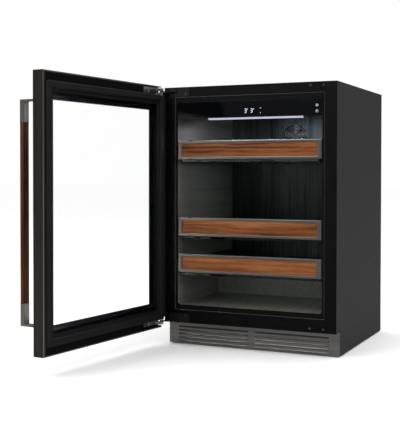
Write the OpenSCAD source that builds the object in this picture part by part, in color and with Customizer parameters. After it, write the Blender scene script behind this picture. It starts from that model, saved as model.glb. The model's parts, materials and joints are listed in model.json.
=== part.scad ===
// Undercounter wine and drinks cooler: glass door on two pin hinges, three pull-out shelves,
// fan-cooled evaporator behind the cavity and a sealed compressor bay behind a louvred plinth.
// Millimetres. +Z is up, the front faces -Y, the origin is on the floor under the cabinet's centre.

/* [Cabinet] */
// Width of the cabinet and of the door
cab_w = 595; // [500:1:720]
// Height of the cabinet's top above the floor
cab_top = 862; // [840:1:1040]
// Depth of the cabinet, from its front face to its back
cab_d = 568; // [530:1:690]
// Gap between the floor and the lower edge of the casing
floor_gap = 3; // [2:0.5:10]
// Thickness of the casing's steel sheet
sheet = 0.8; // [0.6:0.1:1.5]
// Side wall, from the casing's outer face to the inside of the liner
side_wall = 47; // [38:1:60]
// Top wall, from the casing's top to the ceiling of the liner
top_wall = 50; // [40:1:60]
// Back wall, from the back of the casing to the inside of the liner
back_wall = 50; // [35:1:60]
// Height of the liner's floor above the floor
liner_floor = 139; // [125:1:170]
// Thickness of the liner's sheet
liner_t = 1; // [0.6:0.1:2]
// Radius of the liner's lengthwise corners
liner_r = 10; // [4:1:16]
// Height of the front frame's lower edge above the floor
frame_bottom = 79; // [70:1:95]
// Depth of the front frame
frame_t = 6; // [5:0.5:10]
// Width of the frame's flat outer band at the sides
band_side = 39; // [30:1:44]
// Height of the frame's flat outer band at the top
band_top = 33; // [28:1:44]
// Height of the frame's flat outer band at the bottom
band_bottom = 43; // [34:1:54]
// Set-back of the frame's inner band behind the outer one
band_step = 1; // [0.5:0.1:2]

/* [Plinth] */
// Recess of the plinth grille behind the front face
kick_recess = 38; // [25:1:60]
// Thickness of the plinth grille's sheet
kick_t = 1.2; // [0.8:0.1:2]
// Louvres in each of the two groups
louvres = 5; // [3:1:5]
// Spacing of the louvres
louvre_pitch = 12.2; // [11:0.1:13]
// Height of one louvre slot
louvre_slot = 5; // [4:0.1:6]
// Height of the lowest louvre above the floor
louvre_low = 10.5; // [9:0.1:14]
// Plain width at each end of the grille
louvre_end = 35; // [25:1:60]
// Plain width between the two louvre groups
louvre_mid = 24; // [14:1:60]

/* [Door] */
// Thickness of the door
door_t = 40; // [36:1:52]
// Gap between the closed door's inner face and the cabinet's front
door_gap = 12; // [9:0.5:16]
// Height of the door's lower edge above the floor
door_bottom = 62; // [55:1:75]
// Rise of the door's top above the cabinet's top
door_rise = 3; // [0:0.5:6]
// Thickness of the door skin's sheet
skin_t = 1; // [0.8:0.1:1.5]
// Leg of the bevel round the door's inner edge
bevel = 4.5; // [2:0.5:5]
// Distance of the gasket from the door's sides
gasket_side = 7; // [6:0.5:12]
// Distance of the gasket from the door's top and bottom
gasket_end = 31.5; // [31:0.5:38]
// Width of the gasket
gasket_w = 29; // [24:0.5:32]
// Clear gap between the closed door's gasket and the cabinet's front
gasket_clear = 0.6; // [0.4:0.1:1]
// Width of the glass border that shows beside the gasket
glass_border = 18; // [10:1:30]
// Width of the skin's face on the door's hinge side
face_hinge = 24; // [20:1:40]
// Thickness of one glass pane
pane_t = 4; // [3:0.5:6]
// Depth of the inner pane behind the door's inner face
pane_inset = 12; // [8:1:14]
// Angle at which the door stands open
door_open = 96; // [0:1:110]

/* [Hinges] */
// Distance of the hinge pin outside the door's side
pin_out = 2.6; // [0:0.1:6]
// Distance of the hinge pin behind the door's inner face
pin_in = 4.9; // [4:0.1:8]
// Radius of the hinge pin
pin_r = 3; // [2:0.1:4]
// Running clearance round the hinge pin
pin_clear = 0.05; // [0.02:0.01:0.08]
// Outer radius of the hinge barrels
barrel_r = 6; // [5:0.5:8]
// Thickness of the hinge arm
arm_t = 4; // [3:0.5:6]
// Gap between the hinge arm and the barrels
barrel_gap = 0.4; // [0.3:0.1:0.8]
// Length of the recess in the door that holds the hinge cup
cup_len = 110; // [90:1:140]
// Depth of that recess
cup_depth = 18; // [16:0.5:22]
// Distance of a hinge plate's screw from the casing's side
plate_screw = 77; // [70:1:82]
// Height of the top hinge arm below the cabinet's top
arm_top_drop = 14; // [13.5:0.5:16]
// Height of the bottom hinge arm above the frame's lower edge
arm_bottom_rise = 3.4; // [3.4:0.1:5]

/* [Handle] */
// Overall length of the handle
handle_len = 645; // [300:1:740]
// Length of the wooden grip
grip_len = 516; // [200:1:640]
// Width of the handle
handle_w = 22; // [16:1:30]
// Thickness of the handle's upright bar
handle_t = 15; // [12:1:20]
// Gap between the door and the handle
handle_gap = 48; // [35:1:60]
// Distance of the handle from the door's free side
handle_side = 16; // [10:1:40]
// Thickness of the handle's two arms
handle_arm = 6; // [4:0.5:10]
// How far the wooden grip stands proud of the metal
grip_proud = 0.8; // [0.2:0.1:2]
// Radius of the steel core inside the grip
core_r = 4; // [3:0.5:5]

/* [Shelves] */
// Height of each shelf front's lower edge above the floor, from the top one down
shelf_z = [623, 369, 247.5];
// Height of a shelf front
fascia_h = 61; // [50:1:70]
// Depth of a shelf front
fascia_t = 16; // [12:1:22]
// Gap between a shelf front and the liner at each side
fascia_clear = 2; // [1:0.5:5]
// Set-back of the shelf fronts behind the cabinet's front
fascia_set = 1.5; // [1:0.5:8]
// Plain width of a shelf front beside the wooden insert
insert_side = 15; // [10:1:30]
// Plain height of a shelf front above and below the wooden insert
insert_edge = 8; // [5:0.5:14]
// Dark joint round the wooden insert
insert_gap = 0.6; // [0.3:0.1:1.5]
// Corner radius of the sunk tray that holds the wooden insert
insert_r = 9; // [3:0.5:14]
// Thickness of a glass shelf
shelf_glass_t = 5; // [4:0.5:8]
// Depth of a shelf, from the cabinet's front to its rear bar
shelf_d = 440; // [380:1:450]
// Width of a telescopic slide
slide_w = 12.7; // [12:0.1:16]
// Height of a telescopic slide
slide_h = 35; // [30:1:45]
// Thickness of the slides' steel
slide_t = 1.2; // [1:0.1:1.5]

/* [Controls and light] */
// Height of the control panel's glass
panel_h = 54; // [46:1:60]
// Thickness of the control panel's glass
panel_t = 3; // [2:0.5:4]
// Depth of the control housing
housing_d = 100; // [96:1:160]
// Height of one display digit
digit_h = 14; // [10:0.5:18]
// Length of the light strip
led_len = 340; // [200:1:450]
// Distance of the light strip behind the cabinet's front
led_back = 72; // [24:1:84]

/* [Cooling] */
// Depth of the compressor bay
bay_d = 200; // [190:1:220]
// Height of the compressor bay's ceiling above the floor
bay_top = 197; // [190:1:200]
// Foam between the compressor bay and the liner
bay_foam = 30; // [25:1:32]
// Depth of the space behind the evaporator cover
evap_d = 47; // [44:1:60]
// Radius of the evaporator fan
evap_fan_r = 44; // [35:1:50]
// Radius of the condenser fan
cond_fan_r = 62; // [50:1:66]
// Radius of the compressor's shell
comp_r = 62; // [50:1:66]
// Height of the compressor's shell
comp_h = 140; // [110:1:146]

/* [Feet] */
// Radius of a levelling foot's pad
foot_r = 16; // [12:1:22]
// Radius of a levelling foot's threaded stud
foot_stud_r = 4; // [3:0.5:6]
// Distance of the feet from the casing's sides
foot_side = 42; // [36:1:80]

/* [Hidden] */
$fn = 48;

fit = 0.2;            // gap between fixed pieces that sit inside each other
eps = 0.5;            // how far a cutting shape runs past the face that it cuts
sx = cab_w / 2;       // outer face of the casing's side
lx = sx - side_wall;  // inside face of the liner's side
lid_z = cab_top - top_wall;   // ceiling of the liner
liner_back = cab_d - back_wall;
cover_y = liner_back - evap_d;              // front face of the evaporator cover
bay_y = cab_d - bay_d;                      // front of the compressor bay
hump_y = bay_y - bay_foam - liner_t;        // front face of the step over the bay
hump_z = bay_top + bay_foam + liner_t;      // top face of that step
foam_z = liner_floor - liner_t - 42;        // underside of the foam below the liner
pan_z = 14;           // underside of the base pan
pan_top = pan_z + 1.2;
kick_top = frame_bottom - fit;

door_top = cab_top + door_rise;
door_in = -door_gap;                        // closed door's inner face
door_out = door_in - door_t;                // closed door's outer face
pin_x = -sx - pin_out;
pin_y = door_in - pin_in;
rim = bevel + 1.5;                          // solid rim behind the bevel
view_side = gasket_side + gasket_w + glass_border;  // from the door's side to the clear glass
view_end = gasket_end + gasket_w + glass_border;    // from the door's end to the clear glass
seat_side = gasket_side + gasket_w + 3;     // inner frame's opening
seat_end = gasket_end + gasket_w + 3;
pane_over = 9;        // how far a pane runs under the frame that holds it
face_handle = view_side - 8;                 // width of the skin's face on the handle side
pane_hinge = face_hinge - 7;                 // from the door's hinge side to the inner pane
pane_handle = seat_side - pane_over;         // from the door's free side to the inner pane
inner_pane_y = door_in - pane_inset;
outer_pane_y = door_out + skin_t + pane_t;  // inner face of the outer pane

arm_z = [cab_top - arm_top_drop, frame_bottom + arm_bottom_rise];   // arm centres, top and bottom
out_side = [1, -1];   // the door's nearer end lies above the top hinge and below the bottom one
cup_near = 11.5;        // hinge recess, from the arm's centre towards the gasket
cup_far = 14;         // hinge recess, from the arm's centre towards the door's end
barrel_reach = 11;    // barrels' reach from the arm's centre
plate_x = [20, 91];   // hinge plate, from the casing's side
plate_t = 3;
plate_h = 29;
plate_gap = 1.2;      // between the hinge plate and the edge of the frame

bar_x = [sx - handle_side - handle_w, sx - handle_side];
bar_y = [door_out - handle_gap - handle_t, door_out - handle_gap];
handle_mid = (door_bottom + door_top) / 2;

slide_z = 24;         // centre of the slides above a shelf front's lower edge
slide_y = 22;         // front end of the fixed rails
slide_len = shelf_d - slide_y - 6;
play = 0.4;           // gap between the moving members of a slide
side_x = lx - 0.4 - slide_w - 0.3;          // outer face of a shelf's side plate
side_t = 1.5;         // sheet of the shelf frames

screw_x = [43, 86];   // hinge screws, from the casing's sides
screw_top = 11;       // the same, from the cabinet's top
screw_bottom = 12.5;  // the same, from the frame's lower edge
head_r = 3.5;
shank_r = 1.9;

led_w = 16;           // base of the light strip
led_t = 3;            // thickness of that base and radius of the lens under it
tube_r = 4;           // tubes of the evaporator and the condenser
coil_half = 190;      // half the length of the evaporator's tubes
coil_rows = 6;        // rows of tube in the evaporator
coil_pitch = 32;      // spacing of those rows
coil_depth = 18;      // spacing of the two columns of tube
fin_pitch = 19;       // spacing of the evaporator's fins

comp_x = 165;
comp_y = bay_y + 100;
comp_z = pan_top + 13;
cond_x = [-sx + 16, -sx + 166];
cond_y = bay_y + 16;
cond_mid = (cond_x[0] + cond_x[1]) / 2;
cond_z = pan_top + 2;
cond_h = 155;
cond_t = 34;          // depth of the condenser
fan_y = cond_y + 46;  // plane of the condenser fan
fan_z = cond_z + cond_h / 2;
evap_fan_z = lid_z - 100;
feet_y = [kick_recess + 34, cab_d - 46];
cover_plane = cab_d - 3;   // the rear cover lies against this plane
cover_screw_z = [30, bay_top - 14];
inlet_side = 70;      // middle of the power inlet, from the casing's right side
inlet_z = 62;         // height of the power inlet

// y = 0 at the cabinet's front face
module from_front() { translate([0, -cab_d / 2, 0]) children(); }

// a piece drawn on the closed door, turned to where the door stands open
module on_door() {
    from_front() translate([pin_x, pin_y, 0]) rotate([0, 0, -door_open])
        translate([-pin_x, -pin_y, 0]) children();
}

module block(a, b) { translate(a) cube(b - a); }

// rectangle from corner a to corner b with round corners
module rounded(a, b, r) {
    translate([a[0] + r, a[1]]) square([b[0] - a[0] - 2 * r, b[1] - a[1]]);
    translate([a[0], a[1] + r]) square([b[0] - a[0], b[1] - a[1] - 2 * r]);
    for (x = [a[0] + r, b[0] - r], y = [a[1] + r, b[1] - r]) translate([x, y]) circle(r);
}

// round-cornered slab with its corners [x, z] and its depths y_lo to y_hi
module slab(a, b, r, y_lo, y_hi) {
    translate([0, y_hi, 0]) rotate([90, 0, 0]) linear_extrude(y_hi - y_lo) rounded(a, b, r);
}

// rod along Y
module rod_y(x, z, r, y_lo, y_hi) {
    translate([x, y_lo, z]) rotate([-90, 0, 0]) cylinder(h = y_hi - y_lo, r = r);
}

// rod along X
module rod_x(y, z, r, x_lo, x_hi) {
    translate([x_lo, y, z]) rotate([0, 90, 0]) cylinder(h = x_hi - x_lo, r = r);
}

// closed ring on the door: from side and end distances, between two depths
module door_ring(side_a, end_a, side_b, end_b, y_lo, y_hi) {
    difference() {
        block([-sx + side_a, y_lo, door_bottom + end_a], [sx - side_a, y_hi, door_top - end_a]);
        block([-sx + side_b, y_lo - eps, door_bottom + end_b],
            [sx - side_b, y_hi + eps, door_top - end_b]);
    }
}

// plain slab on the door, inset from its sides and its ends
module door_slab(side, end, y_lo, y_hi) {
    block([-sx + side, y_lo, door_bottom + end], [sx - side, y_hi, door_top - end]);
}

// slab on the door with its own inset on the hinge side and on the handle side
module door_pane(hinge, handle, end, y_lo, y_hi) {
    block([-sx + hinge, y_lo, door_bottom + end], [sx - handle, y_hi, door_top - end]);
}

// the two recesses in the door's hinge side, grown by g
module cup_recesses(g) {
    for (i = [0, 1]) {
        lo = arm_z[i] - (out_side[i] > 0 ? cup_near : cup_far);
        block([-sx - 9, door_in - cup_depth - g, lo - g],
            [-sx + cup_len + g, door_in + eps, lo + cup_near + cup_far + g]);
    }
}

// screw along Y with its head's face at y and its shank going inwards
module screw_in(y, len) {
    difference() {
        union() {
            rod_y(0, 0, head_r, y, y + 1.3);
            rod_y(0, 0, shank_r, y + 1.3, y + len);
        }
        for (a = [0, 90]) translate([0, y, 0]) rotate([0, a, 0])
            block([-2, -eps, -0.35], [2, 0.9, 0.35]);
    }
}

// places of the screws that close the spare hinge holes on the frame's right-hand side
module at_frame_screws() {
    for (d = screw_x, z = [cab_top - screw_top, frame_bottom + screw_bottom])
        translate([sx - d, 0, z]) children();
}

// places of the hinge plates' own screws
module at_plate_screws() {
    for (z = [cab_top - plate_h + 5, frame_bottom + plate_h - 5])
        translate([-sx + plate_screw, 0, z]) children();
}

module outer_cabinet() {
    color("#3a3836") from_front() difference() {
        block([-sx, 2, floor_gap], [sx, cab_d, cab_top]);
        block([-sx + sheet, 2 - eps, floor_gap - eps], [sx - sheet, cab_d + eps, cab_top - sheet]);
        block([-sx - eps, 2 - eps, floor_gap - eps],
            [sx + eps, kick_recess + kick_t + fit, frame_bottom]);
    }
}

module rear_panel() {
    x = sx - sheet - fit;
    color("#2b2b2b") from_front() difference() {
        union() {
            block([-x, cover_plane - sheet, bay_top - 24], [x, cover_plane, cab_top - sheet - fit]);
            block([-x, cover_plane, bay_top - 6], [x, cab_d, cab_top - sheet - fit]);
        }
        block([-sx + 14, cover_plane, bay_top + 10], [sx - 14, cab_d + eps, cab_top - 14]);
        for (s = [-1, 0, 1])
            rod_y(s * (sx - 14), cover_screw_z[1], 1.8, cover_plane - 2, cover_plane + eps);
    }
}

module base_pan() {
    color("#57595c") from_front() difference() {
        union() {
            block([-sx + 6, cover_plane - sheet, pan_z], [sx - 6, cover_plane, pan_top + 26]);
            block([-sx + sheet + fit, kick_recess + kick_t + 6, floor_gap + 1],
                [sx - sheet - fit, cover_plane, pan_top]);
        }
        block([-sx + 4, kick_recess + kick_t + 8, floor_gap], [sx - 4, cover_plane - 2, pan_z]);
        for (x = [-1, 1] * (sx - foot_side), y = feet_y)
            translate([x, y, 0]) cylinder(h = pan_top + eps, r = foot_stud_r + 0.1);
        for (x = [-1, 1] * 45, y = [-1, 1] * 45)
            translate([comp_x + x, comp_y + y, 0]) cylinder(h = pan_top + eps, r = 3.1);
        for (s = [-1, 0, 1])
            rod_y(s * (sx - 14), cover_screw_z[0], 1.8, cover_plane - 2, cover_plane + eps);
    }
}

module front_frame() {
    color("#0c0c0d") from_front() difference() {
        union() {
            block([-sx, 0, frame_bottom], [sx, 2, cab_top]);
            block([-sx + sheet + fit, 2, frame_bottom], [sx - sheet - fit, frame_t, cab_top - sheet - fit]);
            block([-sx + sheet + fit, frame_t, frame_bottom],
                [sx - sheet - fit, kick_recess + kick_t + 5, frame_bottom + 2]);
        }
        slab([-lx, liner_floor], [lx, lid_z], liner_r, -eps, frame_t + eps);
        block([-sx + band_side, -eps, frame_bottom + band_bottom],
            [sx - band_side, band_step, cab_top - band_top]);
        for (i = [0, 1]) plate_body(i, fit, plate_t + 0.1);
        at_frame_screws() {
            rod_y(0, 0, head_r + 0.15, -eps, 1.4);
            rod_y(0, 0, shank_r + 0.1, 0, frame_t + eps);
        }
        at_plate_screws() rod_y(0, 0, shank_r + 0.1, 0, frame_t + eps);
    }
}

// The cavity's shape; g grows it on every side but the front
module cavity(g, y_lo) {
    difference() {
        slab([-lx - g, liner_floor - g], [lx + g, lid_z + g], liner_r + g, y_lo, liner_back + g);
        block([-lx - g - 1, hump_y + g, liner_floor - g - 1],
            [lx + g + 1, liner_back + g + 1, hump_z - g]);
    }
}

module inner_liner() {
    color("#a9abae") from_front() difference() {
        union() {
            cavity(liner_t, frame_t);
            slab([-lx - 9, liner_floor - 9], [lx + 9, lid_z + 9], liner_r + 9, frame_t, frame_t + liner_t);
        }
        cavity(0, frame_t - eps);
    }
}

module insulation() {
    color("#d8c98f") from_front() difference() {
        block([-sx + sheet, frame_t + liner_t, foam_z],
            [sx - sheet, cover_plane - sheet, cab_top - sheet]);
        cavity(liner_t, frame_t);
        block([-sx, bay_y - sheet, foam_z - eps], [sx, cab_d, bay_top + sheet]);
    }
}

module bay_shield() {
    color("#8f9194") from_front() {
        block([-sx + sheet + fit, kick_recess + 12, foam_z - sheet],
            [sx - sheet - fit, bay_y, foam_z]);
        block([-sx + sheet + fit, bay_y - sheet, foam_z], [sx - sheet - fit, bay_y, bay_top + sheet]);
        block([-sx + sheet + fit, bay_y, bay_top], [sx - sheet - fit, cover_plane - 1, bay_top + sheet]);
    }
}

// curved hood over one louvre slot, as a profile in Y and Z
module louvre_hood() {
    drop = (louvre_slot - 0.8) / 2;
    lip = [for (a = [0:15:90]) [-2.4 * sin(a), louvre_slot - 0.6 - drop * (1 - cos(a))]];
    back = [for (a = [90:-15:0]) [-1.5 * sin(a), louvre_slot - 1.5 - drop * (1 - cos(a))]];
    polygon(concat([[0.6, louvre_slot - 0.6]], lip, back, [[0.6, louvre_slot - 1.5]]));
}

module kick_grille() {
    groups = [[-sx + louvre_end, -louvre_mid / 2], [louvre_mid / 2, sx - louvre_end]];
    color("#6d6b68") from_front() {
        difference() {
            block([-sx, kick_recess, floor_gap], [sx, kick_recess + kick_t, kick_top]);
            for (g = groups, i = [0:louvres - 1])
                slab([g[0], louvre_low + i * louvre_pitch - louvre_slot / 2],
                    [g[1], louvre_low + i * louvre_pitch + louvre_slot / 2], 1, kick_recess - eps,
                    kick_recess + kick_t + eps);
        }
        for (g = groups, i = [0:louvres - 1])
            translate([g[0] + 1.2, kick_recess, louvre_low + i * louvre_pitch - louvre_slot / 2 + 0.6])
                rotate([90, 0, 90]) linear_extrude(g[1] - g[0] - 2.4) louvre_hood();
        block([-sx + 3, kick_recess + kick_t, kick_top - 1.2],
            [sx - 3, kick_recess + kick_t + 12, kick_top]);
    }
}

// flush hinge plate in the frame's front-left corner, i = 0 at the top and 1 at the bottom
module plate_body(i, g, depth) {
    z = i == 0 ? cab_top - plate_h - plate_gap : frame_bottom + plate_gap;
    block([-sx + plate_x[0] - g, g > 0 ? -eps : 0, z - g], [-sx + plate_x[1] + g, depth, z + plate_h + g]);
}

// reach of the hinge arm, in the X-Y plane
module arm_outline() {
    foot = [-sx + plate_x[0] + 15, -3];
    run = foot - [pin_x, pin_y];
    along = run / norm(run);
    across = [-along[1], along[0]] * 5.2;
    translate([pin_x, pin_y]) circle(barrel_r);
    polygon([[pin_x, pin_y] + across, foot + across, foot - across, [pin_x, pin_y] - across]);
}

module hinge_plates() {
    color("#101010") from_front() for (i = [0, 1]) difference() {
        union() {
            plate_body(i, 0, plate_t);
            block([-sx + plate_x[0], -4, arm_z[i] - 2],
                [-sx + plate_x[0] + 26, 0, arm_z[i] + arm_t / 2 + 3]);
            translate([0, 0, arm_z[i] - arm_t / 2]) linear_extrude(arm_t) intersection() {
                arm_outline();
                translate([-sx - 20, -60]) square([120, 60 + plate_t]);
            }
        }
        translate([pin_x, pin_y, arm_z[i] - arm_t]) cylinder(h = 2 * arm_t, r = pin_r);
        at_plate_screws() {
            rod_y(0, 0, head_r + 0.15, -eps, 1.8);
            rod_y(0, 0, shank_r + 0.1, 0, plate_t + eps);
        }
    }
}

module hinge_pins() {
    color("#c8c8c8") from_front() for (z = arm_z)
        translate([pin_x, pin_y, z - barrel_reach]) cylinder(h = 2 * barrel_reach, r = pin_r);
}

module frame_screws() {
    color("#8b8b8b") from_front() {
        at_frame_screws() screw_in(0.1, frame_t);
        at_plate_screws() screw_in(0.4, frame_t);
    }
}

module control_panel() {
    color("#050506") from_front() difference() {
        slab([-lx + 1, lid_z - panel_h - liner_r], [lx - 1, lid_z - 1], liner_r - 1, 2, 2 + panel_t);
        block([-lx, 1, lid_z - panel_h - 2 * liner_r], [lx, 3 + panel_t, lid_z - panel_h]);
    }
}

module control_housing() {
    color("#0e0e10") from_front() difference() {
        block([-lx + liner_r, 2 + panel_t, lid_z - panel_h + 3],
            [lx - liner_r, housing_d, lid_z - 1]);
        block([-lx + liner_r + 2, 1, lid_z - panel_h + 5],
            [lx - liner_r - 2, housing_d - 2, lid_z - 3]);
    }
}

module control_board() {
    z = lid_z - panel_h + 16;
    color("#1f5b34") from_front() {
        block([-70, 9, z], [90, 10.6, z + 30]);
        for (x = [-50, -20, 45, 70]) block([x, 10.6, z + 6], [x + 14, 16, z + 20]);
        for (x = [-60, 84]) rod_y(x, z + 15, 2.5, 2 + panel_t, 9);
    }
}

// one seven-segment figure of width w and height h, from a list of lit segments
module figure_bars(w, h, lit) {
    t = h / 8;
    bars = [[[t, h - t], [w - t, h]], [[w - t, h / 2 + t / 2], [w, h - t]],
        [[w - t, t], [w, h / 2 - t / 2]], [[t, 0], [w - t, t]], [[0, t], [t, h / 2 - t / 2]],
        [[0, h / 2 + t / 2], [t, h - t]],
        [[t, h / 2 - t / 2], [w - t, h / 2 + t / 2]]];
    for (i = lit) block([bars[i][0][0], -0.3, bars[i][0][1]], [bars[i][1][0], 0, bars[i][1][1]]);
}

module ring_mark(x, z, r_out, r_in) {
    difference() {
        rod_y(x, z, r_out, -0.3, 0);
        rod_y(x, z, r_in, -0.3 - eps, eps);
    }
}

module display() {
    z = lid_z - panel_h + 13;
    color("#e8f1ff") from_front() translate([0, 2, 0]) {
        for (x = [-11, 10]) {
            translate([x, 0, z]) figure_bars(digit_h * 0.55, digit_h, [0, 1, 2, 3, 6]);
            ring_mark(x + digit_h * 0.55 + 3, z + digit_h - 2, 1.8, 1);
        }
        block([43, -0.3, z + digit_h], [47, 0, z + digit_h + 1.2]);
        rod_y(45, z - 1, 1.1, -0.3, 0);
        for (dz = [0, 18]) ring_mark(lx - 18, z + dz, 4, 3.3);
        block([lx - 20, -0.3, z - 0.4], [lx - 16, 0, z + 0.4]);
        rod_y(lx - 18, z + 18, 1.2, -0.3, 0);
    }
}

module led_strip() {
    z = lid_z - panel_h + 3;
    color("#dfe6ff") from_front() {
        block([-led_len / 2, led_back - led_w / 2, z - led_t],
            [led_len / 2, led_back + led_w / 2, z]);
        rod_x(led_back, z - led_t, led_t, -led_len / 2, led_len / 2);
    }
}

module evaporator_cover() {
    color("#1c1d1f") from_front() difference() {
        slab([-lx + 1, hump_z + fit], [lx - 1, lid_z - 1], liner_r - 1, cover_y, cover_y + 2);
        for (i = [-3:3], z = [hump_z + 24, lid_z - 200])
            slab([i * 54 - 20, z], [i * 54 + 20, z + 7], 3, cover_y - eps, cover_y + 2 + eps);
        for (r = [14, 26, 38]) difference() {
            rod_y(0, evap_fan_z, r + 7, cover_y - eps, cover_y + 2 + eps);
            rod_y(0, evap_fan_z, r, cover_y - 2 * eps, cover_y + 2 + 2 * eps);
            for (a = [0:60:179]) translate([0, cover_y, evap_fan_z]) rotate([0, a, 0])
                block([-60, -2, -1.5], [60, 4, 1.5]);
        }
    }
}

module evaporator_coil() {
    z0 = hump_z + 60;
    y0 = cover_y + 14;
    color("#b9bdc2") from_front() {
        for (i = [0:coil_rows - 1], y = [y0, y0 + coil_depth])
            rod_x(y, z0 + i * coil_pitch, tube_r, -coil_half, coil_half);
        for (i = [0:coil_rows - 2], y = [y0, y0 + coil_depth]) {
            x = (i % 2 == 0 ? 1 : -1) * coil_half;
            block([x - tube_r, y - tube_r, z0 + i * coil_pitch],
                [x + tube_r, y + tube_r, z0 + (i + 1) * coil_pitch]);
        }
        for (i = [-8:8]) block([i * fin_pitch - 0.4, y0 - 8, z0 - 12],
            [i * fin_pitch + 0.4, y0 + 26, z0 + coil_rows * coil_pitch - 20]);
        for (s = [-1, 1]) block([s * 9 * fin_pitch - 1, y0 - 8, z0 - 12],
            [s * 9 * fin_pitch + 1, liner_back, z0 + coil_rows * coil_pitch - 20]);
    }
}

module evaporator_fan_motor() {
    color("#2a2b2d") from_front() {
        rod_y(0, evap_fan_z, 20, cover_y + 20, liner_back - 2);
        block([-44, liner_back - 2, evap_fan_z - 26], [44, liner_back, evap_fan_z + 26]);
        rod_y(0, evap_fan_z, 2, cover_y + 5, cover_y + 21);
    }
}

// axial fan with its hub at the origin, turning about Y
module fan_wheel(r, hub, depth, blades, bore) {
    difference() {
        union() {
            rod_y(0, 0, hub, 0, depth);
            for (i = [0:blades - 1]) rotate([0, i * 360 / blades, 0]) intersection() {
                translate([0, depth / 2, 0]) rotate([0, 0, 25])
                    block([-hub * 0.5, -0.6, hub * 0.8], [hub * 0.5, 0.6, r + 2]);
                rod_y(0, 0, r, 0, depth);
            }
        }
        rod_y(0, 0, bore, -eps, depth + eps);
    }
}

module evaporator_fan() {
    color("#d7d7d2") from_front() translate([0, cover_y + 6, evap_fan_z])
        fan_wheel(evap_fan_r, 16, 12, 5, 2 + pin_clear);
}

module slide_channel(x_out, x_in, z, half_h, y_lo, y_hi) {
    half_t = slide_t / 2;
    for (s = [-1, 1]) {
        block([min(s * x_out, s * (x_out - slide_t)), y_lo, z - half_h],
            [max(s * x_out, s * (x_out - slide_t)), y_hi, z + half_h]);
        for (v = [-1, 1] * (half_h - half_t)) block([min(s * x_out, s * x_in), y_lo, z + v - half_t],
            [max(s * x_out, s * x_in), y_hi, z + v + half_t]);
    }
}

module shelf_rails() {
    color("#9a9c9e") from_front() for (z = shelf_z)
        slide_channel(lx - 0.2, lx - slide_w, z + slide_z, slide_h / 2, slide_y, slide_y + slide_len);
}

module slide_members(n) {
    color("#8a8c8e") from_front() slide_channel(lx - 0.2 - slide_t - play, lx - slide_w,
        shelf_z[n - 1] + slide_z, slide_h / 2 - slide_t - play, slide_y + 2, slide_y + slide_len - 4);
}

// A shelf's frame: on each side a plate with its slide bar, a ledge for the glass and a front tab,
// and one bar across the back
module shelf_frame(n) {
    z = shelf_z[n - 1];
    bed = z - 3 - shelf_glass_t;
    back = fascia_set + fascia_t;
    bar_out = lx - 0.2 - 2 * (slide_t + play);
    bar_half = slide_h / 2 - 2 * (slide_t + play);
    inside = side_x - side_t - fit;
    color("#2c2d2f") from_front() {
        for (m = [0, 1]) mirror([m, 0, 0]) {
            block([side_x - eps, slide_y + 2, z + slide_z - bar_half],
                [bar_out, slide_y + slide_len - 6, z + slide_z + bar_half]);
            block([side_x - side_t, back, bed - side_t], [side_x, shelf_d, z + 44]);
            block([side_x - 14, back, bed - side_t], [inside, shelf_d - 3 - fit, bed]);
            block([side_x - 14, back, z + 12], [inside, back + side_t, z + 44]);
        }
        block([-inside, shelf_d - 3, bed - side_t], [inside, shelf_d, z + 14]);
    }
}

module shelf_glass(n) {
    bed = shelf_z[n - 1] - 3 - shelf_glass_t;
    color([0.2, 0.42, 0.42, 0.5]) from_front()
        block([-side_x + side_t + 0.3, fascia_set + 6, bed],
            [side_x - side_t - 0.3, shelf_d - 3.3, bed + shelf_glass_t]);
}

module shelf_front(n) {
    z = shelf_z[n - 1];
    fx = lx - fascia_clear;
    color("#8d8a86") from_front() difference() {
        block([-fx, fascia_set, z], [fx, fascia_set + fascia_t, z + fascia_h]);
        block([-fx + 30, fascia_set + 13, z + 2], [fx - 30, fascia_set + fascia_t + eps, z + fascia_h - 2]);
        slab([-fx + insert_side, z + insert_edge], [fx - insert_side, z + fascia_h - insert_edge],
            insert_r, fascia_set - eps, fascia_set + 11);
    }
}

module shelf_wood(n) {
    z = shelf_z[n - 1];
    fx = lx - fascia_clear;
    g = insert_gap;
    color("#9c5a2e") from_front()
        slab([-fx + insert_side + g, z + insert_edge + g],
            [fx - insert_side - g, z + fascia_h - insert_edge - g],
            insert_r - g, fascia_set + 0.3, fascia_set + 11);
}

module compressor() {
    color("#161617") from_front() translate([comp_x, comp_y, 0]) {
        translate([0, 0, comp_z]) rotate_extrude() polygon(concat([[0, 0]],
            [for (a = [-90:15:0]) [comp_r - 22 + 22 * cos(a), 22 + 22 * sin(a)]],
            [for (a = [0:10:90]) [comp_r - 26 + 26 * cos(a), comp_h - 26 + 26 * sin(a)]],
            [[0, comp_h]]));
        difference() {
            block([-58, -58, comp_z - 4], [58, 58, comp_z]);
            for (x = [-45, 45], y = [-45, 45]) translate([x, y, comp_z - 5]) cylinder(h = 6, r = 5);
        }
        block([-8, -8, comp_z - 0.5], [8, 8, comp_z + 1]);
    }
}

module compressor_mounts() {
    color("#26221f") from_front() translate([comp_x, comp_y, 0]) for (x = [-45, 45], y = [-45, 45])
        translate([x, y, 0]) {
            translate([0, 0, pan_top]) cylinder(h = comp_z - 4 - pan_top, r = 9);
            translate([0, 0, pan_z - 3]) cylinder(h = 4.2, r = 3);
            translate([0, 0, comp_z - 4]) cylinder(h = 5.5, r = 4.9);
        }
}

module start_relay() {
    color("#ded9cc") from_front() translate([comp_x - comp_r - 20, comp_y - 18, comp_z + 45]) difference() {
        cube([24, 36, 42]);
        translate([comp_r + 20, 18, -1]) cylinder(h = 44, r = comp_r);
    }
}

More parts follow.
